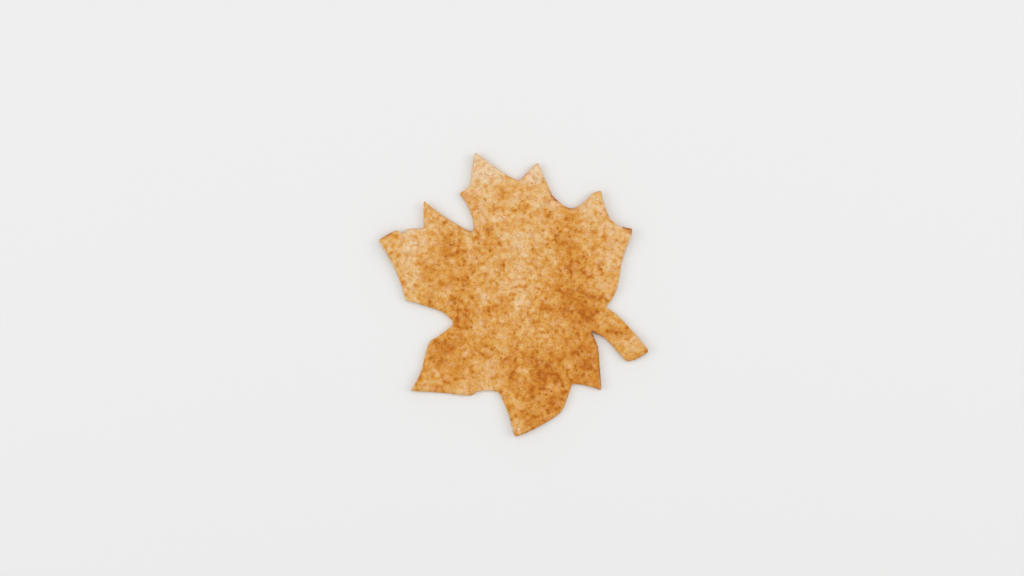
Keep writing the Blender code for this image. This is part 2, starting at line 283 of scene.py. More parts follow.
# Brown edges at notches, tips and two straight cuts: partly the oven's browning, partly painted
# shade in the notches and by the raised tips
TOAST_AND_SHADE_PLACES: tuple[Patch, ...] = (
    Patch(2.0, 42.6, 4.0, 0.25),
    Patch(15.0, 36.2, 3.6, 1.6),
    Patch(21.3, 31.5, 4.0, 0.7),
    Patch(42.2, 24.6, 3.0, 2.0),
    Patch(29.4, -14.8, 4.0, 1.2),
    Patch(-16.1, 23.7, 4.0, 0.4),
    Patch(31.4, -20.0, 6.0, 0.7),
    Patch(32.0, -27.0, 7.0, 0.8),
    Patch(32.3, -33.5, 5.0, 0.5),
    Patch(14.0, -46.2, 7.0, 0.4),
    Patch(5.0, -50.8, 7.0, 0.4),
    Patch(-46.5, 21.6, 3.6, 0.9),
    Patch(47.0, -22.0, 3.5, 0.5),
)

# Single dark specks of burnt sugar that stand out from the rest
CARAMEL_PLACES: tuple[Point, ...] = (
    (-6.1, 13.3),
    (-13.9, 13.7),
    (-16.8, 6.3),
    (-9.4, -5.5),
    (-21.6, -3.0),
    (-20.5, -11.8),
    (26.1, 14.1),
    (6.8, -23.3),
    (6.1, -28.5),
    (5.4, -46.6),
    (13.1, -43.7),
    (6.8, -37.7),
    (0.6, -23.7),
    (-17.9, -20.0),
    (26.8, -2.6),
    (25.0, 2.6),
    (21.3, 12.2),
    (-9.8, 24.0),
    (40.1, -14.4),
    (12.8, -26.3),
    (9.8, -28.5),
    (-36.4, 3.7),
)


def ease(share: Floats) -> Floats:
    """Return a smooth step from 0 to 1, 3s^2 - 2s^3, as the share s goes from 0 to 1."""
    share = np.clip(share, 0, 1)
    return share ** 2 * (3 - 2 * share)


def quarter_round(share: Floats) -> Floats:
    """Return a quarter circle's height, sqrt(1 - (1 - s)^2), from 0 at its foot to 1."""
    share = np.clip(share, 0, 1)
    return np.sqrt(1 - (1 - share) ** 2)


def patch_sum(patches: Sequence[Patch], x: Floats, y: Floats) -> Floats:
    """Add up round patches, each its rise times the eased share of the way to its middle.

    Args:
        patches: The patches to add.
        x: Places along X in mm.
        y: Places along Y in mm.

    Returns:
        The sum at each place.
    """
    total = np.zeros_like(x)
    for patch in patches:
        away = np.hypot(x - patch.x, y - patch.y) / patch.reach
        total = total + patch.rise * ease(1 - away)
    return total


class PlaneNoise:
    """Seeded noise that varies smoothly over a plane, between -1 and 1.

    Random values stand on a square lattice that repeats. A place takes the mean of the four
    round it, each weighted by the eased share of the way to it along X and along Y.
    """

    SIDE = 256

    def __init__(self, cell: float, seed: int) -> None:
        """Draw the lattice's values.

        Args:
            cell: The lattice's spacing in mm.
            seed: The seed of the draws.
        """
        self.cell = cell
        self.values = np.random.default_rng(seed).uniform(-1, 1, (self.SIDE, self.SIDE))

    def at(self, x: Floats, y: Floats) -> Floats:
        """Return the noise on the plane.

        Args:
            x: Places along the plane's first axis in mm.
            y: Places along its second.

        Returns:
            The noise at each place.
        """
        column, row = np.floor(x / self.cell), np.floor(y / self.cell)
        across, up = ease(x / self.cell - column), ease(y / self.cell - row)
        left, low = column.astype(int) % self.SIDE, row.astype(int) % self.SIDE
        right, high = (left + 1) % self.SIDE, (low + 1) % self.SIDE
        below = self.values[low, left] * (1 - across) + self.values[low, right] * across
        above = self.values[high, left] * (1 - across) + self.values[high, right] * across
        return below * (1 - up) + above * up


@dataclass
class LeafDough:
    """The rolled dough: its cut outline, its thickness, and how it rises off the table."""

    thickness: float = 2.3
    wall_share: float = 0.55
    foot_share: float = 0.2
    shoulder_reach: float = 1.2
    foot_reach: float = 0.5
    base_corners: tuple[Point, ...] = ((-3.0, 38.0), (-22.0, -29.0), (27.0, -26.0))
    base_slope: float = 0.026
    ripples: tuple[tuple[float, float, float, float], ...] = (
        (17.0, 25.0, 0.10, 0.4),
        (12.5, 118.0, 0.09, 2.1),
        (9.0, 71.0, 0.07, 4.0),
        (7.0, 160.0, 0.06, 1.2),
    )
    most_soft_share: float = 0.45
    measuring_step: float = 0.8
    measuring_corner_steps: int = 2
    block: int = 4000
    outline: Floats = field(init=False)

    def __post_init__(self) -> None:
        """Work out the outline that depths are measured from."""
        self.outline = self.cut(self.measuring_step, self.measuring_corner_steps)

    def bowed_cut(
        self, start: Floats, end: Floats, bow: float, near: float, far: float, step: float
    ) -> Floats:
        """Return points of the cut between two corners.

        The cut is the parabola start + run * t + outward * bow * 4t(1 - t), from t = near /
        length to t = 1 - far / length, where the corners' roundings begin.

        Args:
            start: The corner where the cut starts.
            end: The corner where it ends.
            bow: How far its middle stands outwards of a straight line.
            near: The length that the first corner's rounding takes.
            far: The length that the second corner's rounding takes.
            step: The points' spacing.

        Returns:
            The points, one a row.
        """
        run = end - start
        length = math.hypot(*run)
        outward = np.array((-run[1], run[0])) / length
        near = min(near, self.most_soft_share * length)
        far = min(far, self.most_soft_share * length)
        count = max(2, round((length - near - far) / step) + 1)
        t = np.linspace(near / length, 1 - far / length, count)[:, None]
        return start + run * t + outward * bow * 4 * t * (1 - t)

    def cut(self, step: float, corner_steps: int) -> Floats:
        """Return the leaf's outline, anticlockwise, with its box centred on the origin.

        Each corner is the curve (1 - t)^2 before + 2t(1 - t) corner + t^2 after.

        Args:
            step: The spacing of the points along the cuts.
            corner_steps: How many points lie on each corner's curve.

        Returns:
            The outline's points, one a row.
        """
        corners = [corner for lobe in LOBES.values() for corner in lobe]
        places = [np.array((corner.x, corner.y)) for corner in corners]
        following = [*range(1, len(corners)), 0]
        cuts = []
        for i, j in enumerate(following):
            bow, near, far = corners[i].bow, corners[i].soft, corners[j].soft
            cuts.append(self.bowed_cut(places[i], places[j], bow, near, far, step))
        t = np.linspace(0, 1, corner_steps + 2)[1:-1, None]
        points = []
        for i, j in enumerate(following):
            before, after = cuts[i][-1], cuts[j][0]
            points.append(cuts[i])
            points.append((1 - t) ** 2 * before + 2 * t * (1 - t) * places[j] + t ** 2 * after)
        outline = np.concatenate(points)[::-1]
        return outline - (outline.min(axis=0) + outline.max(axis=0)) / 2

    def depth(self, points: Floats, outline: Floats | None = None) -> Floats:
        """Return how far inside the outline each point lies, negative where it is outside.

        The size is the least distance to any stretch of the outline. A point is inside when
        a line from it towards +X crosses the outline an odd number of times.

        Args:
            points: The points, one a row.
            outline: Another outline than the measuring one.

        Returns:
            The depth of each point in mm.
        """
        starts = self.outline if outline is None else outline
        ends = np.roll(starts, -1, axis=0)
        runs = ends - starts
        rise = np.where(runs[:, 1] == 0, 1.0, runs[:, 1])
        depths = []
        for part in np.array_split(points, max(1, math.ceil(len(points) / self.block))):
            offsets = part[:, None, :] - starts[None, :, :]
            along = np.clip((offsets * runs).sum(axis=2) / (runs ** 2).sum(axis=1), 0, 1)
            distance = np.linalg.norm(offsets - along[:, :, None] * runs, axis=2).min(axis=1)
            height = part[:, None, 1]
            crossed = (starts[:, 1] > height) != (ends[:, 1] > height)
            crossing = starts[:, 0] + (height - starts[:, 1]) / rise * runs[:, 0]
            inside = (crossed & (part[:, None, 0] < crossing)).sum(axis=1) % 2 == 1
            depths.append(np.where(inside, distance, -distance))
        return np.concatenate(depths)

    def beyond_base(self, x: Floats, y: Floats) -> Floats:
        """Return how far each place lies outside the base triangle.

        The distance outside a side is the side's run crossed with the way from its start to
        the place, over its length. The largest of the three counts, and 0 inside them all.

        Args:
            x: Places along X in mm.
            y: Places along Y in mm.

        Returns:
            The distance in mm.
        """
        beyond = np.zeros_like(x)
        for i, start in enumerate(self.base_corners):
            end = self.base_corners[(i + 1) % len(self.base_corners)]
            run_x, run_y = end[0] - start[0], end[1] - start[1]
            outwards = (run_y * (x - start[0]) - run_x * (y - start[1])) / math.hypot(run_x, run_y)
            beyond = np.maximum(beyond, outwards)
        return beyond

    def lift(self, x: Floats, y: Floats) -> Floats:
        """Return the sheet's lift: none on the base, then a steady rise and the tips' curls."""
        return self.base_slope * self.beyond_base(x, y) + patch_sum(CURLS, x, y)

    def sheet(self, x: Floats, y: Floats) -> Floats:
        """Return the dough's thickness.

        It is the even one, plus the blisters and dips, plus a sine wave for each ripple with
        its wavelength, bearing in degrees, height and phase.

        Args:
            x: Places along X in mm.
            y: Places along Y in mm.

        Returns:
            The thickness in mm.
        """
        thickness = self.thickness + patch_sum(SWELLS, x, y)
        for wavelength, bearing, height, phase in self.ripples:
            turn = math.radians(bearing)
            along = x * math.cos(turn) + y * math.sin(turn)
            thickness = thickness + height * np.sin(2 * math.pi * along / wavelength + phase)
        return thickness

    def top(self, x: Floats, y: Floats, depth: Floats) -> Floats:
        """Return the top's height, which rounds over to the wall near the cut edge."""
        share = self.wall_share + (1 - self.wall_share) * quarter_round(depth / self.shoulder_reach)
        return self.lift(x, y) + self.sheet(x, y) * share

    def foot(self, x: Floats, y: Floats, depth: Floats) -> Floats:
        """Return the underside's height, which rounds up to the wall near the cut edge."""
        share = self.foot_share * (1 - quarter_round(depth / self.foot_reach))
        return self.lift(x, y) + self.sheet(x, y) * share


@dataclass
class SugarCrust:
    """The baked-on dusting: where cinnamon lies, how the crust stands up, what is toasted, with
    painted light along the rim and painted shade at notches and tips.
    """

    dough: LeafDough
    even_amount: float = 0.5
    contrast: float = 1.1
    least_amount: float = 0.02
    most_amount: float = 0.98
    slope: Point = (0.0012, -0.0020)
    relief_cells: tuple[tuple[float, float], ...] = ((4.2, 0.05), (1.9, 0.045), (0.95, 0.035))
    relief_seed: int = 700
    relief_reach: float = 0.7
    pit_cell: float = 2.4
    pit_depth: float = 0.07
    pit_seed: int = 811
    rim_toast: float = 0.1
    rim_reach: float = 0.8
    toast_reach: float = 1.4
    # Less cinnamon along the cut: partly bare dough, partly painted light against the shoulder's
    # shade
    bare_and_brightened_rim: float = 0.12
    relief_layers: list[tuple[PlaneNoise, float]] = field(init=False)
    pits: PlaneNoise = field(init=False)

    def __post_init__(self) -> None:
        """Draw the noise of the relief and of the underside's pits."""
        self.relief_layers = [
            (PlaneNoise(cell, self.relief_seed + i), height)
            for i, (cell, height) in enumerate(self.relief_cells)
        ]
        self.pits = PlaneNoise(self.pit_cell, self.pit_seed)

    def cinnamon(self, x: Floats, y: Floats) -> Floats:
        """Return the share of cinnamon, an even slope plus the thin and thick patches."""
        even = self.even_amount + self.slope[0] * x + self.slope[1] * y
        patches = self.contrast * patch_sum(THIN_DUSTING + THICK_DUSTING, x, y)
        return np.clip(even + patches, self.least_amount, self.most_amount)

    def rim_cinnamon_with_painted_light(self, x: Floats, y: Floats, depth: Floats) -> Floats:
        """Return the share of cinnamon, less along the cut: partly where it fell off, partly
        painted light that lifts the shaded rounded shoulder.
        """
        return self.cinnamon(x, y) - self.bare_and_brightened_rim * ease(1 - depth / self.rim_reach)

    def toast_and_shade(self, x: Floats, y: Floats, depth: Floats) -> Floats:
        """Return the rim's brown: a little toast all round, and much at the brown places, partly
        toast and partly painted shade.
        """
        all_round = self.rim_toast * ease(1 - depth / self.rim_reach)
        places = patch_sum(TOAST_AND_SHADE_PLACES, x, y) * ease(1 - depth / self.toast_reach)
        return np.clip(all_round + places, 0, 1)

    def top(self, x: Floats, y: Floats, depth: Floats) -> Floats:
        """Return the top's height with the crust's relief, which fades out at the cut."""
        relief = sum(height * noise.at(x, y) for noise, height in self.relief_layers)
        return self.dough.top(x, y, depth) + relief * ease(depth / self.relief_reach)

    def foot(self, x: Floats, y: Floats, depth: Floats) -> Floats:
        """Return the underside's height with shallow pits that go up into the dough."""
        pits = self.pit_depth * ease(self.pits.at(x, y)) * ease(depth / self.relief_reach)
        return self.dough.foot(x, y, depth) + pits


@dataclass(frozen=True)
class Mottle:
    """One layer of blots: its strength, the blots' size in mm and its shift in mm."""

    strength: float
    size: float
    shift: Place


def linear(colour: Bits) -> Linear:
    """Turn an 8-bit sRGB colour into the linear one that shaders take.

    A share s up to 0.04045 becomes s / 12.92, and a larger one ((s + 0.055) / 1.055) ^ 2.4.

    Args:
        colour: Red, green and blue from 0 to 255.

    Returns:
        Linear red, green and blue from 0 to 1, and full alpha.
    """
    share = np.array(colour) / 255
    low = share / 12.92
    high = ((share + 0.055) / 1.055) ** 2.4
    red, green, blue = np.where(share <= 0.04045, low, high).tolist()
    return (red, green, blue, 1.0)


class Shade:
    """A number that comes out of a node. Python's operators on it add Math nodes."""

    def __init__(self, graph: "Graph", socket: bpy.types.NodeSocket | None) -> None:
        """Keep the socket and the graph that it is in."""
        self.graph = graph
        self.socket = socket

    def __add__(self, other: "Shade | float") -> "Shade":
        """Return the sum."""
        return self.graph.maths("ADD", self, other)

    def __radd__(self, other: float) -> "Shade":
        """Return the sum with a number on the left."""
        return self.graph.maths("ADD", other, self)

    def __sub__(self, other: "Shade | float") -> "Shade":
        """Return the difference."""
        return self.graph.maths("SUBTRACT", self, other)

    def __rsub__(self, other: float) -> "Shade":
        """Return the difference from a number on the left."""
        return self.graph.maths("SUBTRACT", other, self)

    def __mul__(self, other: "Shade | float") -> "Shade":
        """Return the product."""
        return self.graph.maths("MULTIPLY", self, other)

    def __rmul__(self, other: float) -> "Shade":
        """Return the product with a number on the left."""
        return self.graph.maths("MULTIPLY", other, self)

    def between(self, low: float, high: float) -> "Shade":
        """Return an eased step that is 0 up to low and 1 from high on."""
        settings = {"interpolation_type": "SMOOTHSTEP"}
        values = {"Value": self, "From Min": low, "From Max": high}
        return self.graph.node("ShaderNodeMapRange", settings, values, "Result")


Value = Shade | float | tuple[float, ...]


class Graph:
    """The nodes of one material."""

    SHINE = 0.2
    NOISE_MEAN = 0.5

    def __init__(self, name: str) -> None:
        """Make an empty material of that name."""
        self.material = bpy.data.materials.new(name)
        self.material.use_nodes = True
        self.tree = self.material.node_tree
        self.tree.nodes.clear()

    def node(
        self,
        kind: str,
        settings: Mapping[str, object],
        values: Mapping[str, Value],
        output: str | None = None,
    ) -> Shade:
        """Add a node: its settings first, then its sockets' values or links.

        Args:
            kind: The node's type.
            settings: Its properties, and a ramp's stops as (place, linear colour) pairs.
            values: A number, a colour or another node's output for each socket's identifier.
            output: The identifier of the output to return, where the node has one.

        Returns:
            That output.
        """
        made = self.tree.nodes.new(kind)
        for name, setting in settings.items():
            if name == "stops":
                self.set_stops(made.color_ramp, setting)
            else:
                setattr(made, name, setting)
        sockets = {socket.identifier: socket for socket in made.inputs}
        for name, value in values.items():
            if isinstance(value, Shade):
                self.tree.links.new(value.socket, sockets[name])
            else:
                sockets[name].default_value = value
        outputs = {socket.identifier: socket for socket in made.outputs}
        return Shade(self, outputs.get(output))

    @staticmethod
    def set_stops(ramp: bpy.types.ColorRamp, stops: Sequence[tuple[float, Linear]]) -> None:
        """Give a colour ramp its stops.

        Args:
            ramp: The ramp, which has two stops at first.
            stops: Each stop's place and linear colour, in order.
        """
        while len(ramp.elements) < len(stops):
            ramp.elements.new(1.0)
        for element, (place, colour) in zip(ramp.elements, stops):
            element.position = place
            element.color = colour

    def maths(self, operation: str, first: Value, second: Value) -> Shade:
        """Return the result of one Math node."""
        values = {"Value": first, "Value_001": second}
        return self.node("ShaderNodeMath", {"operation": operation}, values, "Value")

    def mix(self, factor: Value, first: Value, second: Value) -> Shade:
        """Return two colours mixed by the second one's share."""
        settings = {"data_type": "RGBA", "blend_type": "MIX"}
        values = {"Factor_Float": factor, "A_Color": first, "B_Color": second}
        return self.node("ShaderNodeMix", settings, values, "Result_Color")

    def ramp(self, place: Shade, stops: Sequence[tuple[float, Linear]]) -> Shade:
        """Return the colour at a place between a ramp's stops."""
        return self.node("ShaderNodeValToRGB", {"stops": stops}, {"Fac": place}, "Color")

    def attribute(self, name: str) -> Shade:
        """Return the value of one of the mesh's attributes."""
        settings = {"attribute_type": "GEOMETRY", "attribute_name": name}
        return self.node("ShaderNodeAttribute", settings, {}, "Fac")

    def noise(self, size: float, shift: Place, detail: float = 0.0) -> Shade:
        """Return noise around 0, about 0.15 each way, whose blots are about size mm across.

        Args:
            size: The size of a blot in mm.
            shift: How far the pattern is moved on the piece, in mm.
            detail: How many finer layers it has.

        Returns:
            The noise less its mean.
        """
        coordinates = self.node("ShaderNodeTexCoord", {}, {}, "Object")
        moved = {"Vector": coordinates, "Location": tuple(step * MM for step in shift)}
        place = self.node("ShaderNodeMapping", {"vector_type": "POINT"}, moved, "Vector")
        values = {"Vector": place, "Scale": 1 / (size * MM), "Detail": detail}
        noise = self.node("ShaderNodeTexNoise", {"noise_dimensions": "3D"}, values, "Fac")
        return noise - self.NOISE_MEAN

    def mottle(self, layer: Mottle, detail: float = 0.0) -> Shade:
        """Return a layer of blots, its strength times its noise."""
        return layer.strength * self.noise(layer.size, layer.shift, detail)

    def bump(self, height: Shade, depth: float, strength: float) -> Shade:
        """Return normals from a height between 0 and 1 that stands for a depth in mm."""
        values = {"Height": height, "Distance": depth * MM, "Strength": strength}
        return self.node("ShaderNodeBump", {}, values, "Normal")

    def finish(self, values: Mapping[str, Value]) -> bpy.types.Material:
        """Close the material with a Principled shader.

        Args:
            values: The value or link of each of the shader's sockets that differ.

        Returns:
            The material.
        """
        shine = {"Specular IOR Level": self.SHINE}
        shader = self.node("ShaderNodeBsdfPrincipled", {}, shine | dict(values), "BSDF")
        self.node("ShaderNodeOutputMaterial", {}, {"Surface": shader})
        return self.material


@dataclass(frozen=True)
class CrustFinish:
    """Baked golden dough under matt cinnamon sugar, plain on its walls and underside."""

    bare_sugar: Bits = (238, 210, 169)
    thin_dusting: Bits = (232, 188, 125)
    even_dusting: Bits = (225, 165, 80)
    thick_dusting: Bits = (211, 138, 47)
    bare_cinnamon: Bits = (189, 107, 26)
    pink_sugar: Bits = (241, 194, 153)
    orange_blot: Bits = (204, 116, 20)
    # Brown of toast, also painted as shade at the notches and tips
    toast_and_shade_brown: Bits = (184, 98, 26)
    baked_wall: Bits = (240, 192, 112)
    browned_underside: Bits = (196, 132, 60)
    dusting_mottles: tuple[Mottle, ...] = (
        Mottle(0.42, 3.8, (3.0, 7.0, 0.0)),
        Mottle(0.38, 2.2, (11.0, 2.0, 1.0)),
        Mottle(0.2, 1.2, (5.0, 19.0, 0.6)),
        Mottle(0.18, 0.24, (23.0, 9.0, 5.0)),
    )
    dark_spots: Mottle = Mottle(0.56, 1.7, (13.0, 37.0, 0.0))
    dark_spots_contrast: float = 3.0
    dark_spots_mean: float = 0.045
    pink_blots: Mottle = Mottle(0.66, 1.8, (31.0, 4.0, 0.0))
    orange_blots: Mottle = Mottle(0.3, 1.9, (2.0, 41.0, 0.0))
    blots_begin: float = 0.03
    blots_full: float = 0.22
    bake_mottle: Mottle = Mottle(1.6, 5.0, (9.0, 9.0, 9.0))
    bake_detail: float = 3.0
    middle: float = 0.5
    toast_mottle: Mottle = Mottle(1.5, 1.3, (8.0, 1.0, 3.0))
    roughness: float = 0.8
    rough_mottle: Mottle = Mottle(0.5, 1.2, (17.0, 3.0, 0.0))
    fine_grain: Mottle = Mottle(1.0, 0.2, (1.0, 5.0, 8.0))
    coarse_grain: Mottle = Mottle(0.8, 0.7, (6.0, 2.0, 4.0))
    grain_depth: float = 0.16
    grain_bump: float = 0.3

    def blots(self, graph: Graph, layer: Mottle) -> Shade:
        """Return where a layer's blots are, with soft edges."""
        return graph.noise(layer.size, layer.shift).between(self.blots_begin, self.blots_full)

    def dusted(self, graph: Graph, extra: Value) -> Shade:
        """Return the dusting's colour.

        Each mottle adds its strength times its noise to the share of cinnamon. The dark spots
        add theirs with the noise n as n(1 + contrast * n), which makes few and dark ones. The
        share picks a colour between bare sugar and bare cinnamon, with pink blots where there
        is little cinnamon, and orange ones anywhere.

        Args:
            graph: The material's nodes.
            extra: What is added to the share of cinnamon kept on the mesh.

        Returns:
            The colour.
        """
        amount = graph.attribute("cinnamon") + extra
        for layer in self.dusting_mottles:
            amount = amount + graph.mottle(layer)
        spots = graph.noise(self.dark_spots.size, self.dark_spots.shift)
        darker = self.dark_spots.strength * spots * (1 + self.dark_spots_contrast * spots)
        amount = amount + darker - self.dark_spots_mean
        dusted = graph.ramp(
            amount,
            (
                (0.0, linear(self.bare_sugar)),
                (0.26, linear(self.thin_dusting)),
                (0.5, linear(self.even_dusting)),
                (0.76, linear(self.thick_dusting)),
                (1.0, linear(self.bare_cinnamon)),
            ),
        )
        pink = self.pink_blots.strength * self.blots(graph, self.pink_blots) * (1 - amount)
        dusted = graph.mix(pink, dusted, linear(self.pink_sugar))
        orange = self.orange_blots.strength * self.blots(graph, self.orange_blots)
        return graph.mix(orange, dusted, linear(self.orange_blot))

    def material(self) -> bpy.types.Material:
        """Return the crust's material.

        The dusting covers the baked dough by the share kept as cover, and a brown that is partly
        the oven's and partly painted shade covers both by the share kept as toast and shade.

        Returns:
            The material.
        """
        graph = Graph("cinnamon_crust_finish")
        baked = graph.ramp(
            self.middle + graph.mottle(self.bake_mottle, self.bake_detail),
            ((0.0, linear(self.baked_wall)), (1.0, linear(self.browned_underside))),
        )
        covered = graph.mix(graph.attribute("cover"), baked, self.dusted(graph, 0.0))
        # Toast, with painted shade at the notches and tips
        browned_and_shaded = graph.attribute("toast_and_shade") * (1 + graph.mottle(self.toast_mottle))
        colour = graph.mix(browned_and_shaded, covered, linear(self.toast_and_shade_brown))
        roughness = self.roughness + graph.mottle(self.rough_mottle)
        grain = self.middle + graph.mottle(self.fine_grain) + graph.mottle(self.coarse_grain)
        normal = graph.bump(grain, self.grain_depth, self.grain_bump)
        return graph.finish({"Base Color": colour, "Roughness": roughness, "Normal": normal})


@dataclass(frozen=True)
class GrainFinish:
    """Grains of the crust round them with more or less cinnamon, by each grain's shade."""

    name: str
    least_extra: float
    most_extra: float
    roughness: float
    speckle_size: float = 0.3
    shade_speckle: float = 0.6
    rough_speckle: float = 0.4

    def material(self) -> bpy.types.Material:
        """Return the grains' material.

        The shade kept on each grain, with fine speckles on it, goes from the least extra
        cinnamon to the most.

        Returns:
            The material.
        """
        graph = Graph(f"{self.name}_finish")
        speckles = Mottle(self.shade_speckle, self.speckle_size, (4.0, 4.0, 4.0))
        shade = graph.attribute("shade") + graph.mottle(speckles)
        extra = self.least_extra + (self.most_extra - self.least_extra) * shade
        colour = CrustFinish().dusted(graph, extra)
        rough_speckles = Mottle(self.rough_speckle, self.speckle_size, (2.0, 7.0, 1.0))
        roughness = self.roughness + graph.mottle(rough_speckles)
        return graph.finish({"Base Color": colour, "Roughness": roughness})


@dataclass(frozen=True)
class FloorFinish:
    """A plain pale table top."""

    colour: Bits = (236, 236, 234)
    roughness: float = 0.6

    def material(self) -> bpy.types.Material:
        """Return the floor's material."""
        graph = Graph("floor_finish")
        return graph.finish({"Base Color": linear(self.colour), "Roughness": self.roughness})


def mesh_object(
    name: str, vertices: Floats, triangles: Whole, values: Mapping[str, Floats], smooth: bool = True
) -> bpy.types.Object:
    """Make a mesh object from arrays.

    Args:
        name: The object's name.
        vertices: The vertices' places in mm, one a row.
        triangles: Three vertex numbers a row, anticlockwise seen from outside.
        values: Named values to keep on the vertices.
        smooth: Whether its faces shade as one smooth surface.

    Returns:
        The object, linked to the scene, with its origin at the world's.
    """
    mesh = bpy.data.meshes.new(name)
    mesh.vertices.add(len(vertices))
    mesh.vertices.foreach_set("co", (vertices * MM).ravel())
    mesh.loops.add(triangles.size)
    mesh.loops.foreach_set("vertex_index", triangles.ravel())
    mesh.polygons.add(len(triangles))
    mesh.polygons.foreach_set("loop_start", np.arange(0, triangles.size, 3))
    mesh.update(calc_edges=True)
    for label, numbers in values.items():
        layer = mesh.attributes.new(label, "FLOAT", "POINT")
        layer.data.foreach_set("value", numbers.astype(np.float32))
    if smooth:
        mesh.shade_smooth()
    piece = bpy.data.objects.new(name, mesh)
    bpy.context.scene.collection.objects.link(piece)
    return piece


def band(low: int, high: int, count: int) -> Whole:
    """Return the triangles between two closed rings of vertices, two for each step along them.

    Args:
        low: The number of the first ring's first vertex.
        high: The number of the second ring's, to the left of the first ring as it runs.
        count: How many vertices each ring has.

    Returns:
        Three vertex numbers a row, anticlockwise.
    """
    here = np.arange(count)
    there = (here + 1) % count
    first = np.column_stack((low + here, low + there, high + there))
    second = np.column_stack((low + here, high + there, high + here))
    return np.concatenate((first, second))


def carry(piece: bpy.types.Object, finish: bpy.types.Material) -> None:
    """Give a finished piece its material and its body, and report it.

    Args:
        piece: The piece.
        finish: Its material.
    """
    piece.data.materials.append(finish)
    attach(piece, BODY)
    log.info("%s: %d faces", piece.name, len(piece.data.polygons))


@dataclass
class CookieSheet:
    """The cookie itself: a fine sheet with rounded shoulders and a craggy cut wall."""

    dough: LeafDough
    crust: SugarCrust
    cut_step: float = 0.45
    corner_steps: int = 3
    top_spacing: float = 0.385
    under_spacing: float = 0.8
    shoulder_rows: tuple[float, ...] = (0.1, 0.25, 0.47, 0.78, 1.14)
    foot_rows: tuple[float, ...] = (0.16, 0.45)
    row_kept_depth: float = 0.9
    clearance: float = 0.6
    tolerance: float = 1e-5
    wall_rows: int = 4
    wall_bulge: float = 0.1
    crag_cell: float = 1.1
    crag_size: float = 0.07
    crag_seed: int = 95
    wall_dust_share: float = 0.45
    underside_toast_share: float = 0.5

    def lattice(self, outline: Floats, spacing: float, clearance: float) -> Floats:
        """Return the points of a triangular lattice that lie well inside the cut.

        Args:
            outline: The cut's points, whose box the lattice fills.
            spacing: The side of the lattice's triangles.
            clearance: The least depth inside the cut.

        Returns:
            The points, one a row.
        """
        low, high = outline.min(axis=0), outline.max(axis=0)
        columns = np.arange(low[0], high[0], spacing)
        rows = np.arange(low[1], high[1], spacing * math.sqrt(3) / 2)
        x, y = np.meshgrid(columns, rows)
        x[1::2] += spacing / 2
        points = np.stack((x.ravel(), y.ravel()), axis=1)
        return points[self.dough.depth(points) > clearance]

    def outward(self, outline: Floats) -> Floats:
        """Return an outline's outward directions.

        Each is square to the line between the point's two neighbours.

        Args:
            outline: The outline's points, anticlockwise.

        Returns:
            One direction of length 1 a row.
        """
        along = np.roll(outline, -1, axis=0) - np.roll(outline, 1, axis=0)
        outward = np.stack((along[:, 1], -along[:, 0]), axis=1)
        return outward / np.linalg.norm(outward, axis=1)[:, None]

    def filled(
        self, outline: Floats, rows: Sequence[float], spacing: float
    ) -> tuple[Floats, Whole]:
        """Fill the outline with triangles.

        Near the cut the points are a grid of places along the outline by depths below it.
        Further in they are a triangular lattice. A Delaunay net joins them.

        Args:
            outline: The cut's points, which come first in the result.
            rows: The depths of the grid's rows.
            spacing: The lattice's spacing.

        Returns:
            The points, one a row, and the triangles, anticlockwise.
        """
        inward = -self.outward(outline)
        grids = [outline + inward * depth for depth in rows]
        kept = [
            grid[self.dough.depth(grid) > self.row_kept_depth * depth]
            for grid, depth in zip(grids, rows)
        ]
        inner = self.lattice(outline, spacing, rows[-1] + self.clearance * spacing)
        points = np.concatenate((outline, *kept, inner)).tolist()
        inside_only = 1
        border = list(range(len(outline)))
        net = delaunay_2d_cdt(points, [], [border], inside_only, self.tolerance)
        return np.array(net[0]), np.array(net[2])

    def wall(self, foot: Floats, top: Floats, outward: Floats) -> Floats:
        """Return the wall's rows between the foot's rim and the top's.

        A row at share t is foot + t (top - foot), pushed outwards by bulge * 4t(1 - t) and by
        crag noise over the place along the rim and the height.

        Args:
            foot: The foot's rim, one point a row.
            top: The top's rim.
            outward: The rim's outward directions.

        Returns:
            The rows' points, row after row.
        """
        noise = PlaneNoise(self.crag_cell, self.crag_seed)
        steps = np.linalg.norm(np.roll(foot, -1, axis=0) - foot, axis=1)
        along = np.concatenate(((0,), np.cumsum(steps)[:-1]))
        rows = []
        for t in np.linspace(0, 1, self.wall_rows + 2)[1:-1]:
            row = foot + t * (top - foot)
            hump = 4 * t * (1 - t)
            push = hump * (self.wall_bulge + self.crag_size * noise.at(along, row[:, 2]))
            row[:, :2] += outward * push[:, None]
            rows.append(row)
        return np.concatenate(rows)

    def build(self) -> bpy.types.Object:
        """Build the sheet from its top, its underside and the wall between them.

        Returns:
            The piece, with its dusting, painted rim light, toast, painted notch shade and cover
            kept on its vertices.
        """
        outline = self.dough.cut(self.cut_step, self.corner_steps)
        border = len(outline)
        top, top_triangles = self.filled(outline, self.shoulder_rows, self.top_spacing)
        foot, foot_triangles = self.filled(outline, self.foot_rows, self.under_spacing)
        top_depth = np.maximum(self.dough.depth(top), 0)
        foot_depth = np.maximum(self.dough.depth(foot), 0)
        top_depth[:border] = 0
        foot_depth[:border] = 0
        top = np.column_stack((top, self.crust.top(top[:, 0], top[:, 1], top_depth)))
        foot = np.column_stack((foot, self.crust.foot(foot[:, 0], foot[:, 1], foot_depth)))
        wall = self.wall(foot[:border], top[:border], self.outward(outline))

        first = len(top) + len(foot) + border * np.arange(self.wall_rows)
        rings = [len(top), *first.tolist(), 0]
        sides = [band(low, high, border) for low, high in zip(rings[:-1], rings[1:])]
        triangles = np.concatenate((top_triangles, foot_triangles[:, ::-1] + len(top), *sides))

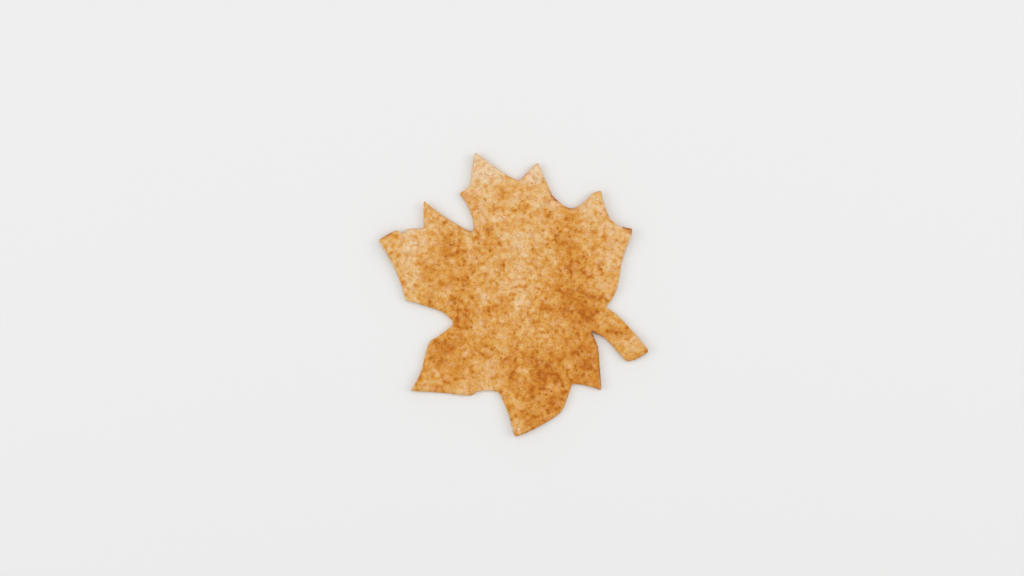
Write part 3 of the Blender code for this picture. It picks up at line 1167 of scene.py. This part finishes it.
        vertices = np.concatenate((top, foot, wall))
        x, y = vertices[:, 0], vertices[:, 1]
        depth = np.concatenate((top_depth, foot_depth, np.zeros(len(wall))))
        share = np.repeat(np.linspace(0, 1, self.wall_rows + 2)[1:-1], border)
        on_top, on_wall = np.ones(len(top)), np.ones(len(wall))
        below = np.full(len(foot), self.underside_toast_share)
        values = {
            # Dusting, paler along the rim as painted light where the rounded shoulder is shaded
            "cinnamon": self.crust.rim_cinnamon_with_painted_light(x, y, depth),
            # Toast, with painted shade at the notches and tips
            "toast_and_shade": self.crust.toast_and_shade(x, y, depth) * np.concatenate((on_top, below, on_wall)),
            "cover": np.concatenate((on_top, np.zeros(len(foot)), self.wall_dust_share * share)),
        }
        return mesh_object("cookie_sheet", vertices, triangles, values)

    def dress(self, piece: bpy.types.Object) -> None:
        """Give the sheet its crust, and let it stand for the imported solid."""
        carry(piece, CrustFinish().material())
        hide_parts(NODE)


class Liking(Enum):
    """Which places a kind of grain keeps to."""

    CINNAMON = "cinnamon"
    SUGAR = "sugar"


@dataclass(frozen=True)
class GrainKind:
    """One kind of grain: how many there are, their form in mm, and where they lie."""

    name: str
    count: int
    radius: tuple[float, float]
    stretch: tuple[float, float]
    flatness: float
    jitter: float
    sink: float
    rings: int
    segments: int
    squareness: float
    tilt: float
    smooth: bool
    liking: Liking
    clearance: float
    seed: int
    finish: GrainFinish


@dataclass
class GrainLayer:
    """Grains of one kind, strewn over the crust and joined into one mesh."""

    dough: LeafDough
    crust: SugarCrust
    kind: GrainKind
    draw_surplus: int = 4
    least_chance: float = 0.25

    def pebble(self) -> tuple[Floats, Whole]:
        """Return one grain of radius 1 as a closed grid of rings by segments with two poles.

        A vertex at latitude a and turn b is (c(a) c(b), c(a) s(b), s(a)), where c and s are
        the cosine and sine raised to the power 1 - squareness with their signs kept.

        Returns:
            The vertices, poles last, and the triangles.
        """
        kind = self.kind
        latitude = np.linspace(-math.pi / 2, math.pi / 2, kind.rings + 2)[1:-1, None]
        turn = np.arange(kind.segments)[None, :] * (2 * math.pi / kind.segments)
        power = 1 - kind.squareness

        def boxed(wave: Floats) -> Floats:
            """Raise a sine or cosine to the power and keep its sign."""
            return np.sign(wave) * np.abs(wave) ** power

        x = boxed(np.cos(latitude)) * boxed(np.cos(turn))
        y = boxed(np.cos(latitude)) * boxed(np.sin(turn))
        z = boxed(np.sin(latitude)) * np.ones_like(turn)
        grid = np.stack((x, y, z), axis=2).reshape(-1, 3)
        poles = np.array(((0.0, 0.0, -1.0), (0.0, 0.0, 1.0)))
        bottom, crown = len(grid), len(grid) + 1
        here = np.arange(kind.segments)
        there = (here + 1) % kind.segments
        last = kind.segments * (kind.rings - 1)
        faces = [
            np.column_stack((np.full_like(here, bottom), there, here)),
            np.column_stack((np.full_like(here, crown), here + last, there + last)),
        ]
        for low in range(0, last, kind.segments):
            faces.append(band(low, low + kind.segments, kind.segments))
        return np.concatenate((grid, poles)), np.concatenate(faces)

    def strewn(self, rng: np.random.Generator) -> Floats:
        """Return where the grains lie.

        Places are drawn over the outline's box. One inside the cut stays by a chance that
        grows to 1 with the cinnamon, or with the sugar, as the kind likes it.

        Args:
            rng: Where the places and chances are drawn from.

        Returns:
            The grains' places in mm, one a row.
        """
        kind = self.kind
        low, high = self.dough.outline.min(axis=0), self.dough.outline.max(axis=0)
        draws = rng.uniform(low, high, (kind.count * self.draw_surplus, 2))
        chance = rng.uniform(0, 1, len(draws))
        amount = self.crust.cinnamon(draws[:, 0], draws[:, 1])
        gain = 1 - self.least_chance
        liked = {
            Liking.CINNAMON: self.least_chance + gain * amount,
            Liking.SUGAR: 1 - gain * amount,
        }[kind.liking]
        draws = draws[chance < liked]
        return draws[self.dough.depth(draws) > kind.clearance][: kind.count]

    def sizes(self, rng: np.random.Generator, count: int) -> tuple[Floats, Floats, Floats]:
        """Draw the grains' sizes.

        Args:
            rng: Where they are drawn from.
            count: How many grains there are.

        Returns:
            Each grain's radius, its width as a share of its length, and its turn in radians.
        """
        kind = self.kind
        radius = rng.uniform(*kind.radius, count)
        stretch = rng.uniform(*kind.stretch, count)
        turn = rng.uniform(0, math.tau, count)
        return radius, stretch, turn

    def frames(self, rng: np.random.Generator, turn: Floats) -> Floats:
        """Return each grain's turn about Z after a drawn tilt about X.

        Args:
            rng: Where the tilts are drawn from.
            turn: Each grain's turn in radians.

        Returns:
            One 3 by 3 matrix a grain.
        """
        tilt = rng.uniform(-self.kind.tilt, self.kind.tilt, len(turn))
        cos_turn, sin_turn = np.cos(turn), np.sin(turn)
        cos_tilt, sin_tilt = np.cos(tilt), np.sin(tilt)
        none = np.zeros_like(turn)
        rows = (
            (cos_turn, -sin_turn * cos_tilt, sin_turn * sin_tilt),
            (sin_turn, cos_turn * cos_tilt, -cos_turn * sin_tilt),
            (none, sin_tilt, cos_tilt),
        )
        return np.array(rows).transpose(2, 0, 1)

    def build(self) -> bpy.types.Object:
        """Build every grain as arrays: the pebble, scaled, jittered, turned and set down.

        Returns:
            The piece, with each grain's shade and dusting kept on its vertices.
        """
        kind = self.kind
        rng = np.random.default_rng(kind.seed)
        places = self.strewn(rng)
        radius, stretch, turn = self.sizes(rng, len(places))
        return self.joined(rng, places, radius, stretch, turn)

    def joined(
        self,
        rng: np.random.Generator,
        places: Floats,
        radius: Floats,
        stretch: Floats,
        turn: Floats,
    ) -> bpy.types.Object:
        """Join grains of these places, radii, stretches and turns into one mesh.

        A grain of radius r is as wide as r * stretch and as high as r * flatness, each vertex
        moved out or in by the jitter. Its middle stands r * flatness * (1 - 2 * sink) above
        the crust, so the share sink of its height is buried.

        Args:
            rng: Where the jitter, tilts and shades are drawn from.
            places: The grains' places on the crust, one a row.
            radius: Each grain's radius.
            stretch: Each grain's width as a share of its length.
            turn: Each grain's turn in radians.

        Returns:
            The piece.
        """
        kind = self.kind
        template, faces = self.pebble()
        count = len(places)
        jitter = 1 + rng.uniform(-kind.jitter, kind.jitter, (count, len(template), 1))
        scale = np.column_stack((radius, radius * stretch, radius * kind.flatness))
        shaped = template[None] * jitter * scale[:, None, :]
        turned = np.einsum("nij,nvj->nvi", self.frames(rng, turn), shaped)
        depth = np.minimum(self.dough.shoulder_reach, self.dough.depth(places))
        ground = self.crust.top(places[:, 0], places[:, 1], depth)
        height = ground + radius * kind.flatness * (1 - 2 * kind.sink)
        centres = np.column_stack((places, height))
        vertices = (turned + centres[:, None, :]).reshape(-1, 3)
        triangles = (faces[None] + np.arange(count)[:, None, None] * len(template)).reshape(-1, 3)
        each = {
            "shade": rng.uniform(0, 1, count),
            "cinnamon": self.crust.cinnamon(places[:, 0], places[:, 1]),
        }
        values = {label: np.repeat(numbers, len(template)) for label, numbers in each.items()}
        return mesh_object(kind.name, vertices, triangles, values, kind.smooth)

    def dress(self, piece: bpy.types.Object) -> None:
        """Give the grains their finish."""
        carry(piece, self.kind.finish.material())


@dataclass
class SugarClumps(GrainLayer):
    """The largest clumps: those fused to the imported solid, in their places, and smaller ones."""

    fused_count: int = 96
    fused_seed: int = 41
    tries: int = 14
    edge_clearance: float = 1.9
    fused_radius: tuple[float, float] = (0.42, 0.72)
    fused_stretch: tuple[float, float] = (0.75, 1.0)
    fused_cut_step: float = 1.6
    fused_corner_steps: int = 2
    fused_jitter_draws: int = 12

    def fused_places(self, rng: np.random.Generator) -> Floats:
        """Return the fused clumps' places, spread evenly.

        Each next place is the one of several draws that lies farthest from its nearest
        neighbour so far.

        Args:
            rng: Where the places are drawn from.

        Returns:
            The places in mm, one a row.
        """
        outline = self.dough.cut(self.fused_cut_step, self.fused_corner_steps)
        low, high = outline.min(axis=0), outline.max(axis=0)
        draws = rng.uniform(low, high, (self.fused_count * self.tries * self.draw_surplus, 2))
        draws = draws[self.dough.depth(draws, outline) > self.edge_clearance][::-1]
        places = draws[:1]
        for i in range(self.fused_count - 1):
            candidates = draws[1 + i * self.tries : 1 + (i + 1) * self.tries]
            gaps = np.linalg.norm(candidates[:, None] - places[None], axis=2).min(axis=1)
            places = np.concatenate((places, candidates[np.argmax(gaps)][None]))
        return places

    def build(self) -> bpy.types.Object:
        """Build the fused clumps where the solid has them, and the smaller ones between.

        Returns:
            The piece.
        """
        fused_rng = np.random.default_rng(self.fused_seed)
        fused = self.fused_places(fused_rng)
        spans = (self.fused_radius, self.fused_stretch, (0.0, math.tau))
        draws = fused_rng.random((self.fused_count, len(spans) + self.fused_jitter_draws))
        fused_sizes = [low + (high - low) * draws[:, i] for i, (low, high) in enumerate(spans)]
        rng = np.random.default_rng(self.kind.seed)
        places = self.strewn(rng)
        sizes = self.sizes(rng, len(places))
        radius, stretch, turn = (np.concatenate(both) for both in zip(fused_sizes, sizes))
        return self.joined(rng, np.concatenate((fused, places)), radius, stretch, turn)


@dataclass
class CaramelSpecks(GrainLayer):
    """Dark specks of burnt sugar: the ones that stand out, in their places, and more."""

    marked_radius: tuple[float, float] = (0.55, 0.8)

    def build(self) -> bpy.types.Object:
        """Build the marked specks and the strewn ones.

        Returns:
            The piece.
        """
        rng = np.random.default_rng(self.kind.seed)
        marked = np.array(CARAMEL_PLACES)
        places = self.strewn(rng)
        radius, stretch, turn = self.sizes(rng, len(marked) + len(places))
        radius[: len(marked)] = rng.uniform(*self.marked_radius, len(marked))
        return self.joined(rng, np.concatenate((marked, places)), radius, stretch, turn)


SUGAR_CRYSTALS = GrainKind(
    name="sugar_crystals",
    count=9500,
    radius=(0.12, 0.2),
    stretch=(0.65, 1.0),
    flatness=0.75,
    jitter=0.16,
    sink=0.36,
    rings=2,
    segments=4,
    squareness=0.35,
    tilt=0.6,
    smooth=False,
    liking=Liking.SUGAR,
    clearance=0.35,
    seed=1201,
    finish=GrainFinish("sugar_crystals", -0.17, 0.0, 0.6),
)

CINNAMON_GRAINS = GrainKind(
    name="cinnamon_grains",
    count=4200,
    radius=(0.17, 0.4),
    stretch=(0.5, 1.0),
    flatness=0.32,
    jitter=0.3,
    sink=0.36,
    rings=2,
    segments=6,
    squareness=0.1,
    tilt=0.1,
    smooth=False,
    liking=Liking.CINNAMON,
    clearance=0.4,
    seed=1307,
    finish=GrainFinish("cinnamon_grains", -0.04, 0.16, 0.8),
)

CLUMPS = GrainKind(
    name="sugar_clumps",
    count=220,
    radius=(0.26, 0.42),
    stretch=(0.7, 1.0),
    flatness=0.62,
    jitter=0.1,
    sink=0.36,
    rings=5,
    segments=8,
    squareness=0.12,
    tilt=0.3,
    smooth=True,
    liking=Liking.SUGAR,
    clearance=1.0,
    seed=1409,
    finish=GrainFinish("sugar_clumps", -0.25, 0.05, 0.7, 0.45),
)

CARAMEL = GrainKind(
    name="caramel_specks",
    count=150,
    radius=(0.34, 0.6),
    stretch=(0.55, 1.0),
    flatness=0.26,
    jitter=0.26,
    sink=0.38,
    rings=3,
    segments=7,
    squareness=0.05,
    tilt=0.12,
    smooth=True,
    liking=Liking.CINNAMON,
    clearance=0.9,
    seed=1511,
    finish=GrainFinish("caramel_specks", 0.2, 0.5, 0.8, 0.4),
)


@dataclass(frozen=True)
class Lamp:
    """A soft square light that looks at the cookie, from a place in mm."""

    name: str
    place: Place
    side: float
    watts: float


@dataclass
class Studio:
    """A pale floor, soft light from all sides, and the camera straight above."""

    image_width: int = 1024
    scale: float = 0.37
    sheet_height: float = 2.3
    aim: Point = (-0.555, 2.5)
    lens: float = 50.0
    sensor: float = 36.0
    floor_radius: float = 2500.0
    floor_drop: float = 0.05
    floor_rings: int = 12
    floor_segments: int = 96
    sky: Bits = (246, 247, 249)
    sky_strength: float = 0.66
    lamps: tuple[Lamp, ...] = (
        Lamp("overhead_softbox", (0.0, 250.0, 1100.0), 700.0, 2.8),
        Lamp("left_softbox", (-900.0, 0.0, 750.0), 600.0, 2.4),
        Lamp("right_softbox", (900.0, 100.0, 750.0), 600.0, 2.4),
    )

    def camera(self) -> bpy.types.Object:
        """Place the camera so that a pixel at the sheet is as many mm as the scale says.

        Returns:
            The camera, which looks straight down.
        """
        data = bpy.data.cameras.new("straight_above")
        data.lens = self.lens
        data.sensor_width = self.sensor
        data.clip_end = self.floor_radius * MM * 2
        distance = self.image_width * self.scale * self.lens / self.sensor
        camera = bpy.data.objects.new("straight_above", data)
        camera.location = Vector((*self.aim, self.sheet_height + distance)) * MM
        bpy.context.scene.collection.objects.link(camera)
        bpy.context.scene.camera = camera
        return camera

    def floor(self) -> bpy.types.Object:
        """Build the floor as a disc, a grid of radii by turns round its middle.

        Returns:
            The floor.
        """
        turn = np.arange(self.floor_segments) * (2 * math.pi / self.floor_segments)
        radii = self.floor_radius * np.linspace(0, 1, self.floor_rings + 1)[1:, None] ** 2
        grid = np.stack((radii * np.cos(turn), radii * np.sin(turn)), axis=2).reshape(-1, 2)
        vertices = np.full((len(grid) + 1, 3), -self.floor_drop)
        vertices[0, :2] = 0
        vertices[1:, :2] = grid
        here = np.arange(self.floor_segments)
        there = (here + 1) % self.floor_segments
        faces = [np.column_stack((np.zeros_like(here), here + 1, there + 1))]
        for ring in range(self.floor_rings - 1):
            inner = 1 + ring * self.floor_segments
            faces.append(band(inner + self.floor_segments, inner, self.floor_segments))
        floor = mesh_object("floor", vertices, np.concatenate(faces), {})
        floor.data.materials.append(FloorFinish().material())
        return floor

    def light(self) -> None:
        """Add the pale sky and the soft lamps."""
        world = bpy.data.worlds.new("pale_sky")
        world.use_nodes = True
        sky = world.node_tree.nodes["Background"]
        sky.inputs["Color"].default_value = linear(self.sky)
        sky.inputs["Strength"].default_value = self.sky_strength
        bpy.context.scene.world = world
        for lamp in self.lamps:
            data = bpy.data.lights.new(lamp.name, "AREA")
            data.size = lamp.side * MM
            data.energy = lamp.watts
            light = bpy.data.objects.new(lamp.name, data)
            light.location = Vector(lamp.place) * MM
            light.rotation_euler = Vector(lamp.place).to_track_quat("Z", "Y").to_euler()
            bpy.context.scene.collection.objects.link(light)

    def build(self) -> None:
        """Set up the whole studio."""
        bpy.context.scene.view_settings.view_transform = "Standard"
        self.camera()
        self.floor()
        self.light()
        log.info("studio: %d lamps", len(self.lamps))


def main() -> None:
    """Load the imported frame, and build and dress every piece."""
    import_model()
    dough = LeafDough()
    crust = SugarCrust(dough)
    pieces = (
        CookieSheet(dough, crust),
        SugarClumps(dough, crust, CLUMPS),
        GrainLayer(dough, crust, SUGAR_CRYSTALS),
        GrainLayer(dough, crust, CINNAMON_GRAINS),
        CaramelSpecks(dough, crust, CARAMEL),
    )
    for piece in pieces:
        piece.dress(piece.build())
    Studio().build()


if __name__ == "__main__":
    logging.basicConfig(level=logging.INFO, format="%(message)s")
    main()
